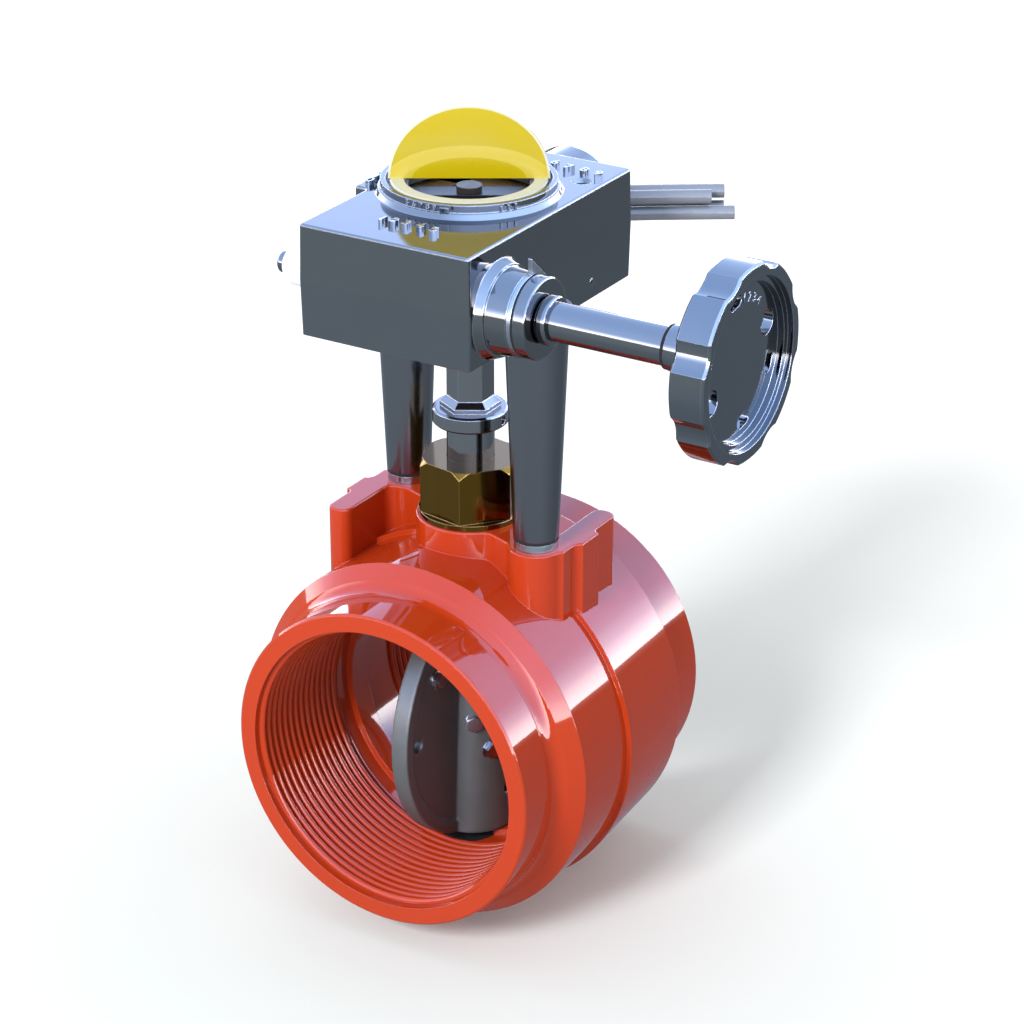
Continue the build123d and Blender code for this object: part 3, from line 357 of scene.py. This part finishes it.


# Finishes of the CAD nodes, each with a lighter colour painted along its edges as a highlight
finishes = {
    "orangeEnamel": {
        "colour": (0.415, 0.036, 0.006),
        "second": (0.365, 0.033, 0.006),
        "rough": 0.03,
        "spread": 0.015,
        "grain": 45,
        "bump": 0.012,
        "bumpScale": 320,
        "bevel": 0.35,
        "paintedEdgeHighlight": 0.25,
        "highlightColour": (0.62, 0.13, 0.06),
        "extra": {"Specular IOR Level": 0.35},
        "nodes": ["valve_body"],
    },
    "housingMetal": {
        "colour": (0.185, 0.185, 0.185),
        "second": (0.165, 0.165, 0.168),
        "metallic": 1.0,
        "rough": 0.07,
        "spread": 0.04,
        "grain": 70,
        "bump": 0.015,
        "bumpScale": 600,
        "bevel": 0.45,
        "paintedEdgeHighlight": 0.6,
        "highlightColour": (0.42, 0.43, 0.44),
        "nodes": ["gear_housing", "worm_cap"],
    },
    "postMetal": {
        "colour": (0.185, 0.18, 0.185),
        "second": (0.16, 0.158, 0.165),
        "metallic": 1.0,
        "rough": 0.2,
        "spread": 0.08,
        "grain": 120,
        "stretch": (1, 1, 0.2),
        "paintedEdgeHighlight": 0.4,
        "highlightColour": (0.40, 0.40, 0.42),
        "nodes": ["support_post_right", "support_post_left"],
    },
    "plateMetal": {
        "colour": (0.36, 0.38, 0.42),
        "second": (0.31, 0.33, 0.37),
        "metallic": 1.0,
        "rough": 0.28,
        "paintedEdgeHighlight": 0.5,
        "highlightColour": (0.6, 0.62, 0.66),
        "nodes": ["retainer_plate"],
    },
    # Painted highlight: the raised digits get a lighter copy of the housing metal so that they
    # read bright
    "digitHighlightMetal": {
        "colour": (0.42, 0.43, 0.45),
        "second": (0.34, 0.35, 0.37),
        "metallic": 1.0,
        "rough": 0.2,
        "bevel": 0.12,
        "nodes": [],
    },
    "wheelMetal": {
        "colour": (0.185, 0.19, 0.20),
        "second": (0.165, 0.17, 0.18),
        "metallic": 1.0,
        "rough": 0.08,
        "spread": 0.04,
        "grain": 90,
        "bump": 0.015,
        "bevel": 0.3,
        "paintedEdgeHighlight": 0.6,
        "highlightColour": (0.42, 0.43, 0.46),
        "nodes": ["handwheel"],
    },
    "shaftMetal": {
        "colour": (0.20, 0.20, 0.205),
        "second": (0.18, 0.18, 0.185),
        "metallic": 1.0,
        "rough": 0.07,
        "spread": 0.05,
        "grain": 200,
        "bump": 0.015,
        "stretch": (0.1, 1, 1),
        "nodes": ["worm_shaft", "shaft_collar"],
    },
    "brightSteel": {
        "colour": (0.235, 0.225, 0.225),
        "second": (0.195, 0.188, 0.19),
        "metallic": 1.0,
        "rough": 0.12,
        "spread": 0.1,
        "grain": 200,
        "stretch": (1, 1, 0.2),
        "paintedEdgeHighlight": 0.5,
        "highlightColour": (0.6, 0.6, 0.6),
        "nodes": ["stem", "drive_coupling", "worm"],
    },
    "silverSteel": {
        "colour": (0.45, 0.455, 0.46),
        "second": (0.38, 0.385, 0.40),
        "metallic": 1.0,
        "rough": 0.22,
        "spread": 0.1,
        "grain": 200,
        "nodes": ["post_stud_right", "post_stud_left"],
    },
    "pinSteel": {
        "colour": (0.30, 0.305, 0.31),
        "second": (0.25, 0.255, 0.27),
        "metallic": 1.0,
        "rough": 0.3,
        "grain": 300,
        "nodes": [
            "coupling_pin", "disc_pin_high", "disc_pin_low", "worm_pin", "wheel_pin",
            "stop_pin_open", "stop_pin_closed",
        ],
    },
    "glandBrass": {
        "colour": (0.15, 0.075, 0.011),
        "second": (0.12, 0.060, 0.009),
        "metallic": 1.0,
        "rough": 0.11,
        "spread": 0.08,
        "grain": 150,
        "stretch": (1, 1, 0.4),
        "paintedEdgeHighlight": 0.6,
        "highlightColour": (0.50, 0.34, 0.14),
        "nodes": ["gland_nut"],
    },
    "bearingBronze": {
        "colour": (0.35, 0.19, 0.08),
        "second": (0.28, 0.15, 0.06),
        "metallic": 1.0,
        "rough": 0.35,
        "grain": 200,
        "nodes": [
            "upper_bushing", "lower_bushing", "hub_bushing", "worm_bush", "spindle_bushing",
            "worm_wheel",
        ],
    },
    "blackRubber": {
        "colour": (0.012, 0.012, 0.013),
        "second": (0.02, 0.02, 0.022),
        "rough": 0.75,
        "spread": 0.15,
        "grain": 300,
        "bump": 0.1,
        "bumpScale": 1500,
        "bevel": 0.05,
        "extra": {"Specular IOR Level": 0.15},
        "nodes": [
            "post_gasket_right", "post_gasket_left", "stem_ring_low", "stem_ring_high",
            "lower_seal", "cap_gasket", "wheel_ring", "lead_gland",
        ],
    },
    "discCoat": {
        "colour": (0.100, 0.103, 0.107),
        "second": (0.130, 0.133, 0.137),
        "metallic": 0.4,
        "rough": 0.38,
        "spread": 0.2,
        "grain": 160,
        "bump": 0.3,
        "bumpScale": 450,
        "bevel": 1.2,
        "paintedEdgeHighlight": 0.5,
        "highlightGain": 3,
        "highlightColour": (0.26, 0.26, 0.27),
        "nodes": ["disc"],
    },
    "coverMetal": {
        "colour": (0.17, 0.175, 0.185),
        "second": (0.14, 0.145, 0.155),
        "metallic": 1.0,
        "rough": 0.3,
        "nodes": ["bottom_cover"],
    },
    "whiteNylon": {
        "colour": (0.80, 0.84, 0.86),
        "second": (0.72, 0.77, 0.80),
        "rough": 0.3,
        "grain": 200,
        "nodes": ["end_plug"],
    },
    "darkBronze": {
        "colour": (0.045, 0.034, 0.025),
        "second": (0.025, 0.019, 0.014),
        "metallic": 0.3,
        "rough": 0.45,
        "spread": 0.2,
        "grain": 500,
        "nodes": ["indicator_screw"],
    },
    "camPlastic": {
        "colour": (0.03, 0.03, 0.033),
        "second": (0.05, 0.05, 0.055),
        "rough": 0.4,
        "nodes": ["cam"],
    },
    "switchPlastic": {
        "colour": (0.34, 0.24, 0.13),
        "second": (0.28, 0.19, 0.10),
        "rough": 0.4,
        "nodes": ["switch_open", "switch_closed"],
    },
    "plungerPlastic": {
        "colour": (0.55, 0.03, 0.02),
        "second": (0.45, 0.02, 0.015),
        "rough": 0.3,
        "nodes": ["plunger_open", "plunger_closed"],
    },
    "barSteel": {
        "colour": (0.03, 0.03, 0.033),
        "second": (0.02, 0.02, 0.022),
        "metallic": 0.6,
        "rough": 0.35,
        "nodes": ["indicator_bar", "switch_bracket"],
    },
    "ringPlastic": {
        "colour": (0.52, 0.54, 0.47),
        "second": (0.46, 0.48, 0.42),
        "rough": 0.22,
        "grain": 100,
        "nodes": ["indicator_ring"],
    },
}
made = {}
for name, settings in finishes.items():
    made[name] = surface(name, settings)
    dress(made[name], settings["nodes"])
print("finishes made")


# Flag: yellow plate with a clear border, and a painted reflection: a paler curved stripe low down
flagLook = {
    "turn": 31.35,
    "base": 142.0,
    "halfWidth": 19.4,
    "height": 18.0,
    "clearFrom": 0.972,
    "yellow": (0.50, 0.385, 0.005),
    "paintedReflection": (0.62, 0.50, 0.07),
    "clear": (0.82, 0.82, 0.62),
    "reflectionInner": (13.6, 5.2),
    "reflectionOuter": (19.6, 8.2),
    "reflectionShare": 0.7,
    "rough": 0.16,
    "clearAlpha": 0.64,
    "yellowAlpha": 0.96,
}


def insideEllipse(across, rise, size):
    first = across / size[0]
    second = rise / size[1]
    return (first * first + second * second) < 1.0


def flagMaterial(f):
    material, tree = newMaterial("flagYellow")
    place = addNode(tree, "ShaderNodeTexCoord", {}, {})
    split = addNode(tree, "ShaderNodeSeparateXYZ", {}, {"Vector": place.outputs["Object"]})
    turn = math.radians(f["turn"])
    x, y, z = (Value(tree, split.outputs[i]) / mm for i in range(3))
    across = x * math.cos(turn) + (y - stemY) * math.sin(turn)
    rise = z - f["base"]
    yellowSize = (f["halfWidth"] * f["clearFrom"], f["height"] * f["clearFrom"])
    full = insideEllipse(across, rise, yellowSize)
    # Painted reflection: a paler stripe across the lower part of the flag
    hollow = 1 - insideEllipse(across, rise, f["reflectionInner"])
    reflectionBand = insideEllipse(across, rise, f["reflectionOuter"]) * hollow
    tint = mixColour(tree, reflectionBand * f["reflectionShare"], f["yellow"], f["paintedReflection"])
    values = {
        "Base Color": mixColour(tree, full, f["clear"], tint),
        "Roughness": f["rough"],
        "Alpha": full * (f["yellowAlpha"] - f["clearAlpha"]) + f["clearAlpha"],
    }
    finishMaterial(tree, addNode(tree, "ShaderNodeBsdfPrincipled", {}, values))
    return material


made["flagYellow"] = flagMaterial(flagLook)
dress(made["flagYellow"], ["flag"])
print("flag made")


# Port threads: one ridge per port that winds inwards along the tapered wall
thread = {
    "wall": 37.6,
    "mouth": 8.5,
    "taper": 1 / 32,
    "height": 1.4,
    "sunk": 0.05,
    "pitch": 2.309,
    "inletTurns": 14.8,
    "outletTurns": 11.2,
    "steps": 120,
    "halfWidth": 0.36,
    "arcStep": 20,
    "first": 0.6,
    "fadeLeast": 0.02,
    "fadeIn": 2.5,
    "fadeOut": 1.5,
    "smooth": 60,
}


def wallAt(depth):
    return thread["wall"] - max(0.0, depth - thread["mouth"]) * thread["taper"]


def ridgeProfile():
    angles = [math.radians(a) for a in range(0, 181, thread["arcStep"])]
    return [(-thread["halfWidth"] * math.cos(a), math.sin(a)) for a in angles]


def threadRidge(name, face, direction, turns):
    points, faces = [], []
    pitch = thread["pitch"]
    profile = ridgeProfile()
    total = int(turns * thread["steps"])
    for i in range(total + 1):
        turn = i / thread["steps"]
        fade = min(1, turn * thread["fadeIn"], (turns - turn) * thread["fadeOut"])
        fade = max(thread["fadeLeast"], fade)
        angle = 2 * math.pi * turn
        for along, share in profile:
            depth = (turn + thread["first"] + along) * pitch
            r = wallAt(depth) + thread["sunk"] - thread["height"] * share * fade
            rise = r * math.sin(angle) * direction
            points.append((r * math.cos(angle), face + direction * depth, rise))
    n = len(profile)
    for i in range(total):
        for j in range(n):
            a, b = i * n + j, i * n + (j + 1) % n
            faces.append((a, b, b + n, a + n))
    faces.append(tuple(range(n)))
    faces.append(tuple(range(total * n, total * n + n)))
    mesh = meshFrom(name, points, faces, thread["smooth"])
    piece = addObject(name, mesh, "valve")
    piece.data.materials.append(made["orangeEnamel"])


threadRidge("inletThread", inletFace, 1, thread["inletTurns"])
threadRidge("outletThread", outletFace, -1, thread["outletTurns"])
print("threads made")


# Raised numbers: plain digits on the housing top, the turret and the handwheel
numbers = {
    "top": 139.0,
    "size": 3.9,
    "thick": 1.4,
    "sunk": 0.1,
    "swell": 0.02,
    "front": (
        (-4.4, 12.6, -6), (-1.3, 12.9, -3), (2.0, 13.0, 0), (5.8, 13.0, 4), (9.9, 12.4, 10),
    ),
    "rear": ((9.1, 68.5, 0), (13.4, 67.4, 0), (18.0, 67.4, 0), (22.2, 66.8, 0)),
    "side": ((-22.3, 34.0, 0), (-22.4, 37.4, 0), (-22.5, 40.8, 0)),
    "turretRadius": 21.4,
    "turretLevel": 141.3,
    "turretSize": 1.9,
    "turretThick": 0.5,
    "turretFirst": 5,
    "turretAngles": (-100.5, -95.0, -90.0, -85.0, -80.5),
    "wheelFace": 88.2,
    "wheelRadius": 14.6,
    "wheelSize": 3.2,
    "wheelAngles": (84.0, 74.0, 64.0, 54.0),
    "wheelThick": 0.25,
}


def cosSin(degrees):
    return math.cos(math.radians(degrees)), math.sin(math.radians(degrees))


def raisedDigit(name, digit, size, thick, place, across, upward, body, material):
    data = bpy.data.curves.new(name, "FONT")
    data.body = digit
    data.size = size * mm
    data.extrude = thick / 2 * mm
    data.offset = size * mm * numbers["swell"]
    data.align_x = "CENTER"
    data.align_y = "CENTER"
    shape = bpy.data.objects.new(name, data)
    scene.collection.objects.link(shape)
    depsgraph = bpy.context.evaluated_depsgraph_get()
    mesh = bpy.data.meshes.new_from_object(shape.evaluated_get(depsgraph))
    bpy.data.objects.remove(shape)
    across, upward = Vector(across).normalized(), Vector(upward).normalized()
    turned = Matrix((across, upward, across.cross(upward))).transposed().to_4x4()
    mesh.transform(Matrix.Translation(Vector(place) * mm) @ turned)
    mesh.materials.clear()
    mesh.materials.append(material)
    addObject(name, mesh, body)


def buildNumbers(n):
    level = n["top"] + n["thick"] / 2 - n["sunk"]
    digit = 0
    for row in ("front", "rear", "side"):
        for x, y, turn in n[row]:
            digit += 1
            c, s = cosSin(turn)
            raisedDigit(
                "topDigit" + str(digit), str(digit % 10), n["size"], n["thick"], (x, y, level),
                (c, s, 0), (-s, c, 0), "valve", made["digitHighlightMetal"],
            )
    for i, angle in enumerate(n["turretAngles"]):
        c, s = cosSin(angle)
        place = (n["turretRadius"] * c, stemY + n["turretRadius"] * s, n["turretLevel"])
        raisedDigit(
            "turretDigit" + str(i + 1), str(i + n["turretFirst"]), n["turretSize"],
            n["turretThick"], place, (-s, c, 0), (0, 0, 1), "valve",
            made["digitHighlightMetal"],
        )
    for i, angle in enumerate(n["wheelAngles"]):
        c, s = cosSin(angle)
        place = (n["wheelFace"], shaftY + n["wheelRadius"] * c, shaftZ + n["wheelRadius"] * s)
        raisedDigit(
            "wheelDigit" + str(i + 1), str(i + 1), n["wheelSize"], n["wheelThick"], place,
            (0, s, -c), (0, c, s), "handwheel_drive", made["silverSteel"],
        )


buildNumbers(numbers)
print("numbers raised")


# Small fasteners and marks
fittings = {
    "discBolts": (
        ((1.6, 24.1, 15.7), (1, 0, 0), 2.2, 1.9),
        ((5.2, 36.3, -1.3), (0.58, -0.81, 0), 2.3, 1.9),
        ((8.4, 39.1, -9.3), (0.89, -0.46, 0), 2.3, 1.9),
        ((-1.6, 24.1, 15.7), (-1, 0, 0), 2.2, 1.9),
    ),
    "roofScrew": ((20.0, 62.8, 136.6), (0, 0, 1), 1.55, 1.0),
    "faceScrew": ((25.4, 58.2, 115.6), (1, 0, 0), 1.0, 0.35),
    "tickAngles": (-37.5, -32.5, -27.5),
    "tickSize": (0.5, 0.55, 2.4),
    "tickRadius": 21.5,
    "tickLevel": 140.7,
    "turretBlock": (-73.5, 21.6, 141.0, (0.7, 2.2, 1.5)),
    "washerWider": 1.25,
    "washerShare": 0.3,
    "washerSides": 32,
    "headSides": 24,
    "socketShare": 0.5,
    "socketRise": 0.03,
    "smooth": 30,
}


def prism(points, faces, place, outward, radius, start, end, sides):
    outward = Vector(outward).normalized()
    first = outward.orthogonal().normalized()
    second = outward.cross(first)
    base = len(points)
    for level in (start, end):
        for i in range(sides):
            angle = 2 * math.pi * i / sides
            across = first * radius * math.cos(angle) + second * radius * math.sin(angle)
            points.append(Vector(place) + across + outward * level)
    faces.append(tuple(base + i for i in reversed(range(sides))))
    faces.append(tuple(base + sides + i for i in range(sides)))
    for i in range(sides):
        j = (i + 1) % sides
        faces.append((base + i, base + j, base + sides + j, base + sides + i))


def fastener(name, points, faces, body, material):
    mesh = meshFrom(name, points, faces, fittings["smooth"])
    piece = addObject(name, mesh, body)
    piece.data.materials.append(material)


def hexBolt(name, place, outward, radius, height):
    f = fittings
    washer = height * f["washerShare"]
    wide = radius * f["washerWider"]
    points, faces = [], []
    prism(points, faces, place, outward, wide, 0, washer, f["washerSides"])
    prism(points, faces, place, outward, radius, washer, height, 6)
    fastener(name, points, faces, "disc_drive", made["silverSteel"])


def socketScrew(name, place, outward, radius, height, slot, material):
    f = fittings
    points, faces = [], []
    prism(points, faces, place, outward, radius, 0, height, f["headSides"])
    fastener(name, points, faces, "valve", material)
    # Painted shade: a thin black hexagon just above the head stands in for the dark, shaded hex
    # socket
    points, faces = [], []
    inner, top = radius * f["socketShare"], height + f["socketRise"]
    prism(points, faces, place, outward, inner, height, top, 6)
    fastener(name + "Socket", points, faces, "valve", made["blackRubber"])


def turretBar(name, angle, radius, level, size):
    c, s = cosSin(angle)
    out, along = Vector((c, s, 0)), Vector((-s, c, 0))
    centre = Vector((0, stemY, level)) + out * radius
    points, faces = [], []
    for k in (-1, 1):
        for i, j in ((-1, -1), (1, -1), (1, 1), (-1, 1)):
            flat = out * i * size[0] / 2 + along * j * size[1] / 2
            points.append(centre + flat + Vector((0, 0, k * size[2] / 2)))
    faces += [(3, 2, 1, 0), (4, 5, 6, 7)]
    faces += [(i, (i + 1) % 4, (i + 1) % 4 + 4, i + 4) for i in range(4)]
    fastener(name, points, faces, "valve", made["housingMetal"])


def buildFittings(f):
    for i, bolt in enumerate(f["discBolts"]):
        hexBolt("discBolt" + str(i + 1), *bolt)
    socketScrew("roofScrew", *f["roofScrew"], "housing_metal", made["barSteel"])
    socketScrew("faceScrew", *f["faceScrew"], "housing_metal", made["housingMetal"])
    for i, angle in enumerate(f["tickAngles"]):
        turretBar("turretTick" + str(i + 1), angle, f["tickRadius"], f["tickLevel"], f["tickSize"])
    turretBar("turretBlock", *f["turretBlock"])


buildFittings(fittings)
print("fittings placed")


# Floor: a stage that is never mirrored
floorLook = {
    "side": 6.0,
    "drop": 0.5,
    "rough": 0.9,
    "glow": (0.09, 0.09, 0.09),
    # Painted shade: the floor is darker near the object's foot, tinted cyan there against the red
    # light bounced off the body
    "near": (0.60, 0.64, 0.64),
    "far": (0.98, 0.98, 0.98),
    "start": 0.08,
    "end": 0.6,
}


def buildFloor(f):
    mesh = bpy.data.meshes.new("floor")
    side = f["side"]
    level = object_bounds()[0].z - f["drop"] * mm
    around = ((-1, -1), (1, -1), (1, 1), (-1, 1))
    corners = [(x * side, y * side, level) for x, y in around]
    mesh.from_pydata(corners, [], [(0, 1, 2, 3)])
    floor = bpy.data.objects.new("floor", mesh)
    scene.collection.objects.link(floor)
    material, tree = newMaterial("floorPaintedShade")
    place = addNode(tree, "ShaderNodeTexCoord", {}, {})
    values = {0: place.outputs["Object"]}
    # Painted shade: darker close to the object, paler further out
    reach = addNode(tree, "ShaderNodeVectorMath", {"operation": "LENGTH"}, values)
    past = Value(tree, reach.outputs["Value"]) - f["start"]
    share = (past / (f["end"] - f["start"])).clamp()
    values = {
        "Base Color": mixColour(tree, share, f["near"], f["far"]),
        "Roughness": f["rough"],
        "Specular IOR Level": 0.0,
        "Emission Color": f["glow"],
        "Emission Strength": 1.0,
    }
    finishMaterial(tree, addNode(tree, "ShaderNodeBsdfPrincipled", {}, values))
    mesh.materials.append(material)
    floor.visible_glossy = False
    floor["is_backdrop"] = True


# Lights: a bright one in front and a faint one above
lights = {
    "aim": (0.02, 0.04, 0.05),
    "keyLight": ((0.0, -2.7, 1.85), 0.8, 118),
    "topLight": ((-0.5, 0.2, 1.3), 0.7, 2),
}


def areaLight(name, aim, place, size, power):
    data = bpy.data.lights.new(name, "AREA")
    data.shape = "SQUARE"
    data.size = size
    data.energy = power
    lamp = bpy.data.objects.new(name, data)
    scene.collection.objects.link(lamp)
    lamp.location = place
    lamp.rotation_mode = "QUATERNION"
    lamp.rotation_quaternion = (Vector(aim) - Vector(place)).to_track_quat("-Z", "Y")
    lamp.visible_glossy = False


# Surroundings: an even glow, and a sky that only mirroring surfaces see
skyLook = {
    "ambient": (0.80, 0.80, 0.81),
    "behind": 0.5,
    "behindSlope": 0.8,
    "behindShift": 0.4,
    "brighter": 1.0,
    "brighterSlope": 1.7,
    "brighterShift": 0.2,
    "brighterFrom": 0.016,
    "dark": (0.02, 0.03, 0.06),
    "stops": [
        (0.0, (0.35, 0.42, 0.48)),
        (0.20, (0.42, 0.52, 0.62)),
        (0.29, (0.50, 0.62, 0.74)),
        (0.50, (0.62, 0.70, 0.74)),
        (0.516, (0.70, 0.75, 0.78)),
        (0.519, (9.0, 9.0, 9.5)),
        (0.55, (8.0, 8.0, 8.8)),
        (0.595, (3.8, 4.4, 6.0)),
        (0.638, (2.1, 2.7, 4.2)),
        (0.671, (1.6, 2.1, 3.5)),
        (0.711, (1.45, 2.0, 3.3)),
        (0.76, (1.4, 2.0, 3.3)),
        (1.0, (1.1, 1.7, 3.0)),
    ],
}


def buildWorld(w):
    world = bpy.data.worlds.new("softStudio")
    scene.world = world
    world.use_nodes = True
    tree = world.node_tree
    tree.nodes.clear()
    place = addNode(tree, "ShaderNodeTexCoord", {}, {})
    split = addNode(tree, "ShaderNodeSeparateXYZ", {}, {"Vector": place.outputs["Generated"]})
    height = Value(tree, split.outputs["Z"])
    values = {"Fac": height * 0.5 + 0.5}
    mirrored = addNode(tree, "ShaderNodeValToRGB", {"stops": w["stops"]}, values)
    behind = Value(tree, split.outputs["Y"]) * w["behindSlope"] + w["behindShift"]
    behind = behind.clamp() * (height < 0) * w["behind"]
    side = Value(tree, split.outputs["X"]) * w["brighterSlope"] + w["brighterShift"]
    side = side.clamp() * (1 - (height < w["brighterFrom"])) * w["brighter"] + 1
    values = {0: mirrored.outputs[0], "Scale": side}
    brightened = addNode(tree, "ShaderNodeVectorMath", {"operation": "SCALE"}, values)
    shaded = mixColour(tree, behind, brightened.outputs[0], w["dark"])
    ray = addNode(tree, "ShaderNodeLightPath", {}, {})
    colour = mixColour(tree, ray.outputs["Is Glossy Ray"], w["ambient"], shaded)
    back = addNode(tree, "ShaderNodeBackground", {}, {"Color": colour, "Strength": 1.0})
    addNode(tree, "ShaderNodeOutputWorld", {}, {"Surface": back.outputs[0]})


buildFloor(floorLook)
buildWorld(skyLook)
areaLight("keyLight", lights["aim"], *lights["keyLight"])
areaLight("topLight", lights["aim"], *lights["topLight"])
print("lights set")
